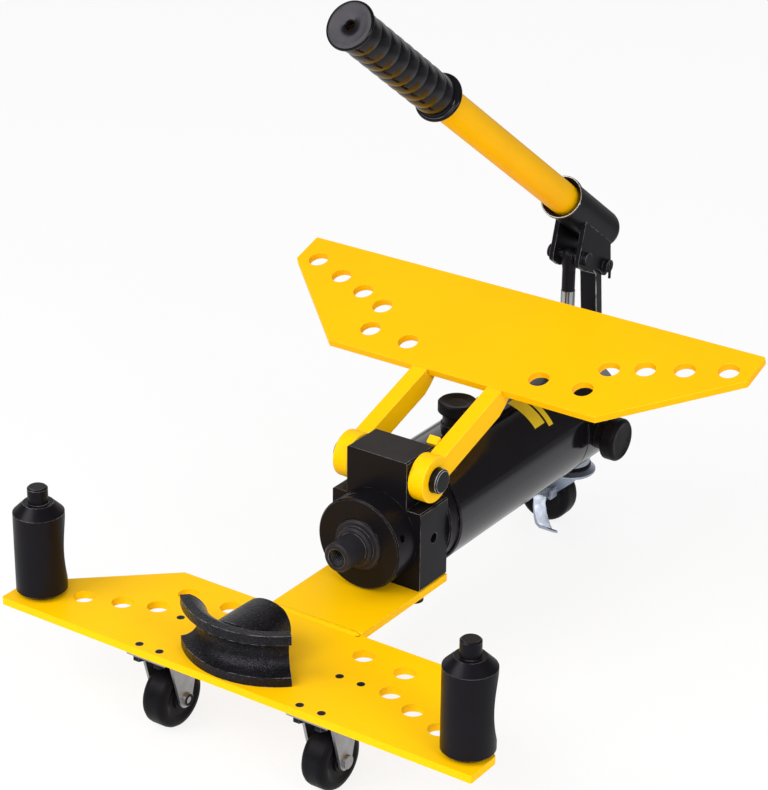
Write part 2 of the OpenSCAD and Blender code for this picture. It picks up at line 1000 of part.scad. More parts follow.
module ram() {
    color(black)
        on_deck()
            ram_turned([
                [nose_hole_d / 2, nose_seat - nose_len],
                [nose_tip_d / 2 - edge_c, nose_seat - nose_len],
                [nose_tip_d / 2, nose_seat - nose_len + edge_c],
                [nose_d / 2, nose_seat],
                [ram_step_d / 2 - edge_c, nose_seat],
                [ram_step_d / 2, nose_seat + edge_c],
                [ram_step_d / 2, ram_front],
                [ram_d / 2 - edge_c, ram_front],
                [ram_d / 2, ram_front + edge_c],
                [ram_d / 2, ram_tail - seal_len],
                [ram_d / 2 - seal_groove, ram_tail - seal_len],
                [ram_d / 2 - seal_groove, ram_tail - edge_c],
                [ram_d / 2, ram_tail - edge_c],
                [ram_d / 2, ram_tail],
                [ram_hollow_d / 2, ram_tail],
                [ram_hollow_d / 2, ram_tail - ram_hollow_len],
                [0, ram_tail - ram_hollow_len],
                [0, nose_seat - nose_len + nose_hole_len],
                [nose_hole_d / 2, nose_seat - nose_len + nose_hole_len]
            ]);
}

module piston_seal() {
    color(rubber)
        on_deck()
            ram_turned([
                [ram_d / 2 - seal_groove, ram_tail - seal_len],
                [bore_d / 2 - run_gap, ram_tail - seal_len],
                [bore_d / 2 - run_gap, ram_tail - edge_c],
                [ram_d / 2 - seal_groove, ram_tail - edge_c]
            ]);
}

// Swings a shape drawn in the closed place back to the open place about the arm pivot
module opened() {
    on_deck()
        translate([0, pivot_back, pivot_h])
            rotate([-open_turn, 0, 0])
                translate([0, -pivot_back, -pivot_h])
                    children();
}

module upper_plate() {
    color(yellow)
        opened()
            plate_blank(plate_gap);
}

module arm(x) {
    top = plate_gap + plate_t;
    rest_h = arm_deep - plate_t;
    color(yellow)
        opened()
            difference() {
                union() {
                    translate([x, 0, 0])
                        rotate([90, 0, 90])
                            linear_extrude(arm_t)
                                polygon([
                                    [pivot_back, plate_gap],
                                    [pivot_back, plate_gap + arm_deep],
                                    [plate_back + arm_toe / 3, plate_gap + arm_deep],
                                    [plate_back, top + rest_h * 4 / 5],
                                    [plate_back - arm_toe / 2, top + rest_h / 3],
                                    [plate_back - arm_toe, top],
                                    [plate_back, top],
                                    [plate_back, plate_gap]
                                ]);
                    bar_x([x, pivot_back, pivot_h], boss_d, arm_t);
                }
                bar_x([x - over, pivot_back, pivot_h], pivot_d + 2 * run_gap, arm_t + 2 * over);
            }
}

module left_arm() {
    arm(-arm_out);
}

module right_arm() {
    arm(arm_in);
}

module stop_lug() {
    color(yellow)
        on_deck()
            translate([arm_in - lug_t, pivot_back, pivot_h])
                rotate([90, 0, 90])
                    linear_extrude(lug_t)
                        polygon([
                            for (i = [-2:2]) lug_r_out * [cos(lug_angle + i * lug_span / 4),
                                sin(lug_angle + i * lug_span / 4)],
                            for (i = [2:-1:-2]) lug_r_in * [cos(lug_angle + i * lug_span / 4),
                                sin(lug_angle + i * lug_span / 4)]
                        ]);
}

module caster_screws() {
    color(black)
        on_deck()
            screw_places()
                translate([0, 0, -plate_t - caster_sheet]) {
                    cylinder(d = screw_d, h = plate_t + caster_sheet);
                    translate([0, 0, -screw_head_h])
                        cylinder(d = screw_head_d, h = screw_head_h, $fn = 6);
                }
}

// A rigid caster bracket: a top plate with two legs down to the axle, drawn about its middle
module rigid_caster() {
    r = leg_low_d / 2;
    low = caster_h - caster_sheet;
    color(zinc)
        difference() {
            union() {
                translate([-caster_plate_y / 2, -caster_plate_x / 2, low])
                    cube([caster_plate_y, caster_plate_x, caster_sheet]);
                for (y = [-fork_inner - fork_sheet, fork_inner])
                    translate([0, y + fork_sheet, 0])
                        rotate([90, 0, 0])
                            linear_extrude(fork_sheet) {
                                polygon([
                                    [-leg_top_w / 2, low],
                                    [-leg_top_w / 2, low - 2 * fork_sheet],
                                    [-r, axle_z],
                                    [r, axle_z],
                                    [leg_top_w / 2, low - 2 * fork_sheet],
                                    [leg_top_w / 2, low]
                                ]);
                                translate([0, axle_z])
                                    circle(r);
                            }
            }
            bar_y([0, -wheel_d, axle_z], axle_d, 2 * wheel_d);
            for (i = [-1, 1], j = [-1, 1])
                bar_z([i * screw_half_y, j * screw_half_x, low - over],
                    screw_d + 2 * run_gap, caster_sheet + 2 * over);
        }
}

module swivel_fork() {
    r = leg_low_d / 2;
    low = fork_z - fork_cup_h;
    color(zinc)
        difference() {
            union() {
                rotate_extrude()
                    polygon([
                        [0, low],
                        [fork_d / 2 - edge_c, low],
                        [fork_d / 2, low + edge_c],
                        [fork_d / 2, low + fork_cup_h / 2],
                        [race_d / 2, fork_z],
                        [0, fork_z]
                    ]);
                for (y = [-fork_inner - fork_sheet, fork_inner])
                    translate([0, y + fork_sheet, 0])
                        rotate([90, 0, 0])
                            linear_extrude(fork_sheet) {
                                polygon([
                                    [-leg_top_w * 3 / 8, low],
                                    [-leg_top_w * 3 / 8, low - fork_sheet],
                                    [caster_trail - r, axle_z],
                                    [caster_trail + r, axle_z],
                                    [leg_top_w * 5 / 8, low - 2 * fork_sheet],
                                    [leg_top_w / 2, low]
                                ]);
                                translate([caster_trail, axle_z])
                                    circle(r);
                            }
                for (x = [pedal_x - pedal_ear_half - pedal_ear_t, pedal_x + pedal_ear_half])
                    translate([x, fork_inner + fork_sheet, pedal_pin_z - pedal_eye_d / 2])
                        cube([pedal_ear_t, pedal_out + pedal_eye_d / 2, pedal_eye_d]);
            }
            bar_z([0, 0, low - over], king_d + 2 * run_gap, fork_cup_h + 2 * over);
            bar_y([caster_trail, -wheel_d, axle_z], axle_d, 2 * wheel_d);
            bar_x([-wheel_d, fork_inner + fork_sheet + pedal_out, pedal_pin_z], pedal_pin_d, 2 * wheel_d);
        }
}

module caster_axle(trail) {
    half = fork_inner + fork_sheet;
    color(zinc)
        translate([trail, 0, axle_z]) {
            bar_y([0, -half - axle_head_t, 0], axle_d, 2 * (half + axle_head_t));
            for (y = [-half - axle_head_t, half])
                bar_y([0, y, 0], axle_head_d, axle_head_t);
        }
}

module caster_wheel(trail) {
    r = wheel_d / 2;
    bore = axle_d / 2 + run_gap;
    color(rubber)
        translate([trail, -wheel_w / 2, axle_z])
            rotate([-90, 0, 0])
                rotate_extrude()
                    polygon([
                        [bore, -side_gap / 2],
                        [hub_d / 2, -side_gap / 2],
                        [hub_d / 2, edge_c],
                        [r - 2 * tread_round, edge_c],
                        [r - tread_round - edge_c, 0],
                        for (a = [-90:22.5:0])
                            [r - tread_round + tread_round * cos(a), tread_round + tread_round * sin(a)],
                        for (a = [0:22.5:90])
                            [r - tread_round + tread_round * cos(a),
                                wheel_w - tread_round + tread_round * sin(a)],
                        [r - tread_round - edge_c, wheel_w],
                        [r - 2 * tread_round, wheel_w - edge_c],
                        [hub_d / 2, wheel_w - edge_c],
                        [hub_d / 2, wheel_w + side_gap / 2],
                        [bore, wheel_w + side_gap / 2]
                    ]);
}

// Moves a caster shape to its place with its rolling direction along Y in front
module at_front_caster(side) {
    translate([side * caster_half, deck_y + caster_back, 0])
        rotate(90)
            children();
}

module at_rear_caster() {
    translate([0, deck_y + rear_caster_back, 0])
        rotate(rear_heading)
            children();
}

module left_caster() {
    at_front_caster(-1)
        rigid_caster();
}

module left_axle() {
    at_front_caster(-1)
        caster_axle(0);
}

module left_wheel() {
    at_front_caster(-1)
        caster_wheel(0);
}

module right_caster() {
    at_front_caster(1)
        rigid_caster();
}

module right_axle() {
    at_front_caster(1)
        caster_axle(0);
}

module right_wheel() {
    at_front_caster(1)
        caster_wheel(0);
}

module rear_caster_race() {
    top = caster_h;
    king_low = fork_z - fork_cup_h - fork_sheet - move_gap;
    color(zinc)
        translate([0, deck_y + rear_caster_back, 0]) {
            bar_z([0, 0, top - race_flange_h], race_d, race_flange_h);
            bar_z([0, 0, fork_z + move_gap], race_neck_d, top - race_flange_h - fork_z - move_gap);
            bar_z([0, 0, king_low], king_d, top + ram_z / 3 - king_low);
            bar_z([0, 0, king_low], 2 * king_d, fork_sheet);
        }
}

module rear_fork() {
    at_rear_caster()
        swivel_fork();
}

module rear_axle() {
    at_rear_caster()
        caster_axle(caster_trail);
}

module rear_wheel() {
    at_rear_caster()
        caster_wheel(caster_trail);
}

module brake_pin() {
    half = pedal_ear_half + pedal_ear_t;
    color(zinc)
        at_rear_caster()
            bar_x([pedal_x - half, fork_inner + fork_sheet + pedal_out, pedal_pin_z], pedal_pin_d, 2 * half);
}

// A point on one edge of the pedal in plan, at a share of its length; it bends once it is past its ears
function pedal_bend(t) = pow(max(0, t - pedal_ear_share) / (1 - pedal_ear_share), 2);
function pedal_edge(t, half, side) = [
    side * (half + (pedal_w / 2 - half) * pedal_bend(t)) - pedal_skew * pedal_bend(t),
    (pedal_len + 2 * pedal_t) * t
];

module brake_pedal() {
    half = pedal_ear_half - move_gap;
    color(zinc)
        at_rear_caster()
            translate([pedal_x, fork_inner + fork_sheet + pedal_out, pedal_pin_z])
                difference() {
                    union() {
                        bar_x([-half, 0, 0], pedal_eye_d, 2 * half);
                        intersection() {
                            translate([-pedal_len, 0, 0])
                                rotate([90, 0, 90])
                                    linear_extrude(2 * pedal_len)
                                        polygon([
                                            [0, pedal_eye_d / 2],
                                            [pedal_len / 3, pedal_eye_d / 4],
                                            [pedal_len * 4 / 5, -pedal_drop + pedal_t],
                                            [pedal_len, -pedal_drop + pedal_lip],
                                            [pedal_len + pedal_t, -pedal_drop + pedal_lip],
                                            [pedal_len * 5 / 6, -pedal_drop],
                                            [pedal_len * 2 / 3, -pedal_drop],
                                            [pedal_len / 4, -pedal_eye_d / 4],
                                            [0, -pedal_eye_d / 4]
                                        ]);
                            translate([0, 0, -pedal_len])
                                linear_extrude(2 * pedal_len)
                                    polygon([
                                        for (i = [0:pedal_steps]) pedal_edge(i / pedal_steps, half, 1),
                                        for (i = [pedal_steps:-1:0]) pedal_edge(i / pedal_steps, half, -1)
                                    ]);
                        }
                    }
                    bar_x([-pedal_w, 0, 0], pedal_pin_d + 2 * run_gap, 2 * pedal_w);
                }
}

module roller(side, groove_way) {
    color(black)
        on_deck()
            translate([side * hole_half_pitch, 0, 0])
                difference() {
                    rotate_extrude()
                        polygon([
                            [0, -plate_t - roller_out_low],
                            [roller_pin_d / 2 - edge_c, -plate_t - roller_out_low],
                            [roller_pin_d / 2, -plate_t - roller_out_low + edge_c],
                            [roller_pin_d / 2, rest_gap],
                            [roller_d / 2 - 4 * edge_c, rest_gap],
                            [roller_d / 2, roller_cone / 2],
                            [roller_d / 2, roller_len - roller_cone],
                            [roller_cone_d / 2, roller_len],
                            [roller_pin_d / 2, roller_len],
                            [roller_pin_d / 2, roller_len + roller_out_top - edge_c],
                            [roller_pin_d / 2 - edge_c, roller_len + roller_out_top],
                            [0, roller_len + roller_out_top]
                        ]);
                    rotate(groove_way)
                        translate([roller_d / 2 + groove_d / 2 - groove_deep, 0, roller_len / 2])
                            bar_y([0, -roller_d, 0], groove_d, 2 * roller_d);
                }
}

module left_roller() {
    roller(-1, left_groove);
}

module right_roller() {
    roller(1, right_groove);
}

module bending_former() {
    mid = former_h / 2;
    inner = former_r - mid;
    swell = mid - former_land;
    back_r = (pow(mid, 2) + pow(swell, 2)) / (2 * swell);
    hub_len = former_horn + former_hub_back;
    crown_z = former_h - former_crown_drop - former_crown_d / 2;
    color(black)
        on_deck()
            translate([former_side, former_back, rest_gap])
                rotate(former_turn)
                    difference() {
                        union() {
                            rotate(-90 - former_sweep / 2)
                                rotate_extrude(angle = former_sweep)
                                    difference() {
                                        intersection() {
                                            translate([inner + back_r, mid])
                                                circle(r = back_r);
                                            square([former_r, former_h]);
                                        }
                                        translate([former_r, mid])
                                            circle(d = pipe_d);
                                    }
                            intersection() {
                                translate([former_hub_side, -inner - former_horn, mid])
                                    rotate([-90, 0, 0])
                                        cylinder(d1 = former_hub_root_d, d2 = former_hub_d, h = hub_len);
                                bar_y([former_hub_side, -former_r, crown_z], former_crown_d, former_r);
                                translate([-former_r, -former_r, 0])
                                    cube([2 * former_r, 2 * former_r, former_h]);
                                cylinder(r = inner + swell / 2, h = former_h);
                            }
                        }
                        bar_y([former_hub_side, -inner + former_hub_back - former_socket_len, mid],
                            nose_d + 2 * move_gap, former_socket_len + over);
                    }
}

lower_plate();
tongue_plate();
weld_bead();
head_block();
block_bolts();
pivot_pins();
collar_nut();
lock_ring();
pressure_cylinder();
guide_bush();
wiper_ring();
reservoir_tube();
pump_body();
return_spring();
filler_neck();
filler_cap();
valve_housing();
release_spindle();
release_knob();
plunger_gland();
fulcrum_bracket();
link_base_pin();
fulcrum_link();
pump_plunger();
plunger_eye();
handle_socket();
socket_cheeks();
plunger_pin();
link_top_pin();
handle_tube();
handle_grip();
ram();
piston_seal();
upper_plate();
left_arm();
right_arm();
stop_lug();
caster_screws();
left_caster();
left_axle();
left_wheel();
right_caster();
right_axle();
right_wheel();
rear_caster_race();
rear_fork();
rear_axle();
rear_wheel();
brake_pedal();
brake_pin();
left_roller();
right_roller();
bending_former();
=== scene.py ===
# Looks of a hydraulic pipe bender: rounded edges, worn finishes with painted edge highlights, a thread, a
# weld and a studio
import json
import math

import bmesh
import bpy
from mathutils import Matrix, Vector

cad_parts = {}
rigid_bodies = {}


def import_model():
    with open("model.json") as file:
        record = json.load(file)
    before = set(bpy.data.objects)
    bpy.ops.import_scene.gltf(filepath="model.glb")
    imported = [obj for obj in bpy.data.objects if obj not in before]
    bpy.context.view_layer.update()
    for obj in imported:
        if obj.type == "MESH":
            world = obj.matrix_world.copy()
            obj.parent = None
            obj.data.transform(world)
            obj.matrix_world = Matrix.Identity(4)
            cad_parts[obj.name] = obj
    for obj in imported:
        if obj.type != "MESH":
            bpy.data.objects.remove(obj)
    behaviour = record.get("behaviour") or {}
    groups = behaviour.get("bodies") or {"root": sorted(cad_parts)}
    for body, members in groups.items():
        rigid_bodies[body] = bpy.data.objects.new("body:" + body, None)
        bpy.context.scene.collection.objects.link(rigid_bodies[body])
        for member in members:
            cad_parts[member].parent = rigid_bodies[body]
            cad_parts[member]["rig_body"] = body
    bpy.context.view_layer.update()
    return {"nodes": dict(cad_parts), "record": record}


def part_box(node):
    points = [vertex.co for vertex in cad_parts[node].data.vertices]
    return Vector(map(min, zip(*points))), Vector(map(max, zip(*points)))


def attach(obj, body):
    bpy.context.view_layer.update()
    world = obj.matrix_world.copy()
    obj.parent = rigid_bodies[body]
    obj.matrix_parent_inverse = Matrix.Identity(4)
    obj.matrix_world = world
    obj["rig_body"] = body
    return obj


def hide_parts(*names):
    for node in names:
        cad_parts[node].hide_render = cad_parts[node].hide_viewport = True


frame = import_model()
nodes = frame["nodes"]
slot_of = {part["node"]: part["material_slot"] for part in frame["record"]["subparts"]}
MM = 0.001

# Camera: place in metres, view direction in degrees and focal length for the 768 x 790 picture
CAMERA_PLACE = (1.29920, -1.97698, 1.35126)
CAMERA_AZIMUTH = 34.44
CAMERA_ELEVATION = 24.82
CAMERA_ROLL = 0.67
FOCAL_PIXELS = 2654.2
PICTURE_HEIGHT = 790
SENSOR = 36.0

# Colours, linear: paints as body, shade and a lighter edge colour, which is worn paint and a painted edge
# highlight
YELLOW_WORN_LIT = (1.0, 0.62, 0.03)
YELLOW_SHADE = (0.93, 0.495, 0.0006)
YELLOW_TONES = ((0.97, 0.545, 0.0008), YELLOW_SHADE, YELLOW_WORN_LIT)
# Painted shade: the upper plate gets a darker copy of the same yellow paint
UPPER_SHADED_TONES = ((0.95, 0.485, 0.0006), (0.91, 0.44, 0.0005), YELLOW_WORN_LIT)
# Painted shade: the handle tube gets a darker, more orange copy of the same yellow paint
HANDLE_SHADED_TONES = ((0.88, 0.46, 0.0006), (0.80, 0.385, 0.0005), YELLOW_WORN_LIT)
LABEL_TONES = ((0.60, 0.55, 0.02), YELLOW_SHADE, YELLOW_WORN_LIT)
BLACK_TONES = ((0.0054, 0.0048, 0.0064), (0.0088, 0.0080, 0.0100), (0.34, 0.33, 0.33))
IRON = (0.0046, 0.0042, 0.0052)
OXIDE = (0.0062, 0.0056, 0.0068)
RAM_OXIDE = (0.0170, 0.0155, 0.0185)
ZINC = (0.47, 0.475, 0.49)
BLUE_ZINC = (0.46, 0.51, 0.60)
STEEL = (0.46, 0.465, 0.48)
CHROME = (0.52, 0.53, 0.55)
CHROME_DARK = (0.10, 0.10, 0.11)
BRASS = (0.62, 0.44, 0.16)
RUBBER = (0.0048, 0.0045, 0.0054)
PLASTIC = (0.0056, 0.0052, 0.0062)
# Bare metal of rubbed edges, which also paints a highlight along them
BARE_METAL_LIT = (0.40, 0.40, 0.41)
FLECK = (0.10, 0.10, 0.11)
NO_TINT = (1.0, 1.0, 1.0)
BLACK_TINT = (0.93, 0.89, 1.0)

# Grain of bare metal as noise scales along X, Y and Z
DRAWN_LINES = (30.0, 30.0, 400.0)
ROD_LINES = (260.0, 260.0, 3.0)
EVEN_GRAIN = (160.0, 160.0, 160.0)

# Wear and painted edge highlight: how far they reach from an edge, and how much more of a rounded edge is
# lightened
WEAR_AND_HIGHLIGHT_REACH = 1.4 * MM
EDGE_RUB_AND_HIGHLIGHT = 0.1


class Graph:
    """A material's node tree with short calls for the nodes that the finishes share."""

    def __init__(self, name):
        self.material = bpy.data.materials.new(name)
        self.material.use_nodes = True
        self.tree = self.material.node_tree
        self.shader = self.tree.nodes["Principled BSDF"]
        self.place = self.add("ShaderNodeTexCoord").outputs["Object"]

    def add(self, kind, **inputs):
        node = self.tree.nodes.new(kind)
        for name, value in inputs.items():
            self.put(node.inputs[name], value)
        return node

    def put(self, socket, value):
        if isinstance(value, bpy.types.NodeSocket):
            self.tree.links.new(value, socket)
        else:
            socket.default_value = value

    def noise(self, scale, detail=4.0, place=None):
        node = self.add("ShaderNodeTexNoise", Vector=place or self.place, Scale=scale, Detail=detail)
        return node.outputs["Fac"]

    def stretched(self, stretch):
        node = self.add("ShaderNodeMapping", Vector=self.place)
        node.inputs["Scale"].default_value = stretch
        return node.outputs["Vector"]

    def math(self, operation, a, b=0.0):
        node = self.add("ShaderNodeMath")
        node.operation = operation
        self.put(node.inputs[0], a)
        self.put(node.inputs[1], b)
        return node.outputs[0]

    def span(self, value, low, high, to_low=0.0, to_high=1.0):
        node = self.add("ShaderNodeMapRange", Value=value)
        for name, number in zip(("From Min", "From Max", "To Min", "To Max"), (low, high, to_low, to_high)):
            node.inputs[name].default_value = number
        return node.outputs[0]

    def mix(self, factor, a, b):
        node = self.add("ShaderNodeMix")
        node.data_type = "RGBA"
        self.put(node.inputs[0], factor)
        for socket, value in ((node.inputs[6], a), (node.inputs[7], b)):
            self.put(socket, value if isinstance(value, bpy.types.NodeSocket) else (*value, 1.0))
        return node.outputs[2]

    def edge(self, radius, low, high):
        """Near 1 on edges and 0 on flat faces."""
        rounded = self.add("ShaderNodeBevel", Radius=radius)
        rounded.samples = 6
        flat = self.add("ShaderNodeNewGeometry").outputs["Normal"]
        facing = self.add("ShaderNodeVectorMath")
        facing.operation = "DOT_PRODUCT"
        self.put(facing.inputs[0], rounded.outputs[0])
        self.put(facing.inputs[1], flat)
        return self.span(self.math("SUBTRACT", 1.0, facing.outputs["Value"]), low, high)

    def rub_and_highlight(self, on_edge, scale, low, high):
        """Lighter patches of rubbed-off finish and painted edge highlight: all along an edge, or only where
        a face nears one.
        """
        if on_edge:
            return self.span(self.noise(scale, 6.0), low - EDGE_RUB_AND_HIGHLIGHT, high - EDGE_RUB_AND_HIGHLIGHT)
        patch = self.span(self.noise(scale, 6.0), low, high)
        return self.math("MULTIPLY", self.edge(WEAR_AND_HIGHLIGHT_REACH, 0.05, 0.3), patch)

    def bump(self, height, strength, distance, normal=None):
        node = self.add("ShaderNodeBump", Height=height, Strength=strength, Distance=distance)
        if normal:
            self.put(node.inputs["Normal"], normal)
        return node.outputs["Normal"]

    def finish(self, colour, roughness, normal=None, metallic=0.0, shine=0.5, tint=NO_TINT):
        self.put(self.shader.inputs["Base Color"], colour)
        self.put(self.shader.inputs["Specular IOR Level"], shine)
        self.put(self.shader.inputs["Specular Tint"], (*tint, 1.0))
        self.put(self.shader.inputs["Roughness"], roughness)
        self.put(self.shader.inputs["Metallic"], metallic)
        if normal:
            self.put(self.shader.inputs["Normal"], normal)
        return self.material


def paint(name, tones, rough, shine, peel=0.05, wear_and_highlight=0.55, on_edge=False, tint=NO_TINT):
    """Enamel with soft tone changes, orange peel, and thin or rubbed paint along the edges, lighter also as
    a painted edge highlight.
    """
    colour, shade, worn_lit = tones
    g = Graph(name)
    tone = g.span(g.noise(9.0, 3.0), 0.35, 0.7)
    speck = g.span(g.noise(420.0, 5.0), 0.66, 0.74)
    body = g.mix(g.math("MULTIPLY", tone, 0.5), colour, shade)
    body = g.mix(g.math("MULTIPLY", speck, 0.18), body, shade)
    # Lighter edges: rubbed paint and painted edge highlight
    rub_and_highlight = g.rub_and_highlight(on_edge, 90.0, 0.42, 0.68)
    body = g.mix(g.math("MULTIPLY", rub_and_highlight, wear_and_highlight), body, worn_lit)
    roughness = g.span(g.noise(24.0, 4.0), 0.3, 0.7, rough - 0.05, rough + 0.08)
    normal = g.bump(g.noise(620.0, 2.0), peel, 0.4 * MM)
    return g.finish(body, roughness, normal, shine=shine, tint=tint)


def casting(name, colour, on_edge=False):
    """Painted sand casting: grainy, with bright rubs on its edges, which are wear and a painted edge
    highlight.
    """
    g = Graph(name)
    tone = g.span(g.noise(30.0, 5.0), 0.35, 0.7)
    body = g.mix(tone, colour, tuple(1.9 * c for c in colour))
    body = g.mix(g.math("MULTIPLY", g.span(g.noise(900.0, 3.0), 0.6, 0.7), 0.5), body, FLECK)
    # Bright edges: bare metal rubs and painted edge highlight
    rub_and_highlight = g.rub_and_highlight(on_edge, 130.0, 0.42, 0.62)
    body = g.mix(g.math("MULTIPLY", rub_and_highlight, 0.8), body, BARE_METAL_LIT)
    grain = g.add("ShaderNodeTexVoronoi", Vector=g.place, Scale=520.0)
    normal = g.bump(grain.outputs["Distance"], 0.55, 0.6 * MM)
    normal = g.bump(g.noise(150.0, 6.0), 0.35, 0.8 * MM, normal)
    roughness = g.span(g.noise(60.0, 4.0), 0.3, 0.7, 0.2, 0.36)
    return g.finish(body, roughness, normal, shine=0.16, tint=BLACK_TINT)


def turned(name, colour, rough, wear_and_highlight=0.6, on_edge=False):
    """Lathe-turned steel under a dark finish: fine rings about the ram line."""
    g = Graph(name)
    centre = g.add("ShaderNodeMapping", Vector=g.place)
    centre.inputs["Location"].default_value = (0, 0, -ram_height)
    rings = g.add("ShaderNodeTexWave", Vector=centre.outputs["Vector"], Scale=260.0, Distortion=0.6)
    rings.wave_type = "RINGS"
    rings.rings_direction = "Y"
    tone = g.span(g.noise(26.0, 4.0), 0.3, 0.72)
    body = g.mix(tone, colour, tuple(1.5 * c for c in colour))
    # Bright edges: bare metal rubs and painted edge highlight
    rub_and_highlight = g.rub_and_highlight(on_edge, 80.0, 0.38, 0.6)
    body = g.mix(g.math("MULTIPLY", rub_and_highlight, wear_and_highlight), body, BARE_METAL_LIT)
    normal = g.bump(rings.outputs["Fac"], 0.06, 0.2 * MM)
    roughness = g.span(g.noise(45.0, 4.0), 0.3, 0.7, rough - 0.06, rough + 0.08)
    return g.finish(body, roughness, normal, shine=0.13, tint=BLACK_TINT)


def bright(name, colour, rough, grain=DRAWN_LINES, dark=None):
    """Bare or plated metal with fine drawing lines, cloudy roughness and faint spots."""
    g = Graph(name)
    lines = g.noise(1.0, 3.0, g.stretched(grain))
    cloud = g.noise(55.0, 5.0)
    body = g.mix(g.span(cloud, 0.35, 0.7), colour, tuple(0.8 * c for c in colour))
    if dark:
        body = g.mix(g.span(lines, 0.5, 0.62), body, dark)
    cloudy = g.span(cloud, 0.3, 0.7, -0.03, 0.06)
    roughness = g.math("ADD", g.span(lines, 0.3, 0.7, rough - 0.06, rough + 0.06), cloudy)
    normal = g.bump(lines, 0.05, 0.2 * MM)
    return g.finish(body, roughness, normal, metallic=1.0)


def moulded(name, colour, rough, grain=0.1, shine=0.1):
    """Rubber or moulded plastic with a fine matt grain and dusty patches."""
    g = Graph(name)
    dust = g.span(g.noise(35.0, 5.0), 0.45, 0.75)
    body = g.mix(g.math("MULTIPLY", dust, 0.6), colour, tuple(2.2 * c for c in colour))
    normal = g.bump(g.noise(900.0, 3.0), grain, 0.3 * MM)
    roughness = g.span(g.noise(50.0, 4.0), 0.3, 0.7, rough - 0.08, rough + 0.1)
    return g.finish(body, roughness, normal, shine=shine, tint=BLACK_TINT)


ram_low, ram_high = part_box("ram")
ram_height = (ram_low.z + ram_high.z) / 2

# Finish of each material slot
finishes = {
    "yellow_paint": paint("yellow_enamel", YELLOW_TONES, rough=0.42, shine=0.06, wear_and_highlight=0.4),
    "black_paint": paint("black_enamel", BLACK_TONES, rough=0.32, shine=0.13, tint=BLACK_TINT),
    "black_iron": casting("black_casting", IRON),
    "black_steel": turned("black_oxide", OXIDE, rough=0.38),
    "bright_steel": bright("ground_steel", STEEL, rough=0.3),
    "chrome_steel": bright("hard_chrome", CHROME, rough=0.2, grain=ROD_LINES, dark=CHROME_DARK),
    "brass_bush": bright("bearing_brass", BRASS, rough=0.3),
    "zinc_plate": bright("zinc_plating", ZINC, rough=0.42, grain=EVEN_GRAIN),
    "wheel_plastic": moulded("wheel_rubber", RUBBER, rough=0.4),
    "black_plastic": moulded("black_moulding", PLASTIC, rough=0.4),
    "grip_rubber": moulded("grip_rubber", RUBBER, rough=0.15, grain=0.03, shine=0.26),
    "seal_rubber": moulded("seal_rubber", RUBBER, rough=0.5),
}

# Finish of the rounded edges of a slot, where more of it is lightened, as rubbed-off finish and as painted
# edge highlight
worn_lit_edge_finishes = {
    "yellow_paint": paint("yellow_edge", YELLOW_TONES, rough=0.4, shine=0.14, wear_and_highlight=0.5, on_edge=True),
    "black_paint": paint("black_edge", BLACK_TONES, rough=0.32, shine=0.13, wear_and_highlight=0.8, on_edge=True),
    "black_iron": casting("casting_edge", IRON, on_edge=True),
    "black_steel": turned("oxide_edge", OXIDE, rough=0.38, wear_and_highlight=0.9, on_edge=True),
}

# Finishes of single pieces that differ from the rest of their slot
tube_enamel = paint("tube_enamel", BLACK_TONES, rough=0.1, shine=0.5, peel=0.01, tint=BLACK_TINT)
# Painted shade on the upper plate: a darker copy of the yellow paint
upper_shaded_enamel = paint("upper_shaded_enamel", UPPER_SHADED_TONES, rough=0.42, shine=0.06, wear_and_highlight=0.4)
# Painted shade on the handle tube: a darker, more orange copy of the yellow paint
handle_shaded_enamel = paint("handle_shaded_enamel", HANDLE_SHADED_TONES, rough=0.4, shine=0.06, wear_and_highlight=0.4)
rear_zinc = bright("rear_zinc", BLUE_ZINC, rough=0.4, grain=EVEN_GRAIN)
ram_oxide = turned("ram_oxide", RAM_OXIDE, rough=0.38)
label_print = paint("label_print", LABEL_TONES, rough=0.45, shine=0.1, peel=0.02, wear_and_highlight=0.2)
own_finishes = {
    "reservoir_tube": tube_enamel, "pump_body": tube_enamel, "handle_tube": handle_shaded_enamel,
    "upper_plate": upper_shaded_enamel, "ram": ram_oxide,
    "rear_fork": rear_zinc, "brake_pedal": rear_zinc, "rear_caster_race": rear_zinc,
}


def dress(obj, material):
    obj.data.materials.clear()
    obj.data.materials.append(material)


def finish_of(name):
    return own_finishes.get(name, finishes[slot_of[name]])


for name, node in nodes.items():
    dress(node, finish_of(name))

# Rounding of edges: points closer than this are one, flatter angles are joined, sharper ones are rounded
MERGE_DISTANCE = 0.002 * MM
FLAT_ANGLE = math.radians(0.3)
SHARP_ANGLE = math.radians(34)
ROUNDING_STEPS = 2

# Rounding of the sharp edges of each visible piece, in millimetres
EDGE_ROUNDING = {
    "lower_plate": 0.9, "tongue_plate": 0.9, "upper_plate": 0.9, "left_arm": 1.2, "right_arm": 1.2,
    "stop_lug": 0.8, "head_block": 1.2, "collar_nut": 0.6, "lock_ring": 0.6, "fulcrum_link": 1.2,
    "fulcrum_bracket": 1.0, "socket_cheeks": 0.8, "pivot_pins": 0.4, "release_knob": 1.4,
    "left_caster": 0.5, "right_caster": 0.5, "rear_fork": 0.5, "brake_pedal": 0.7, "rear_caster_race": 0.6,
    "left_roller": 0.6, "right_roller": 0.6, "bending_former": 0.9,
}


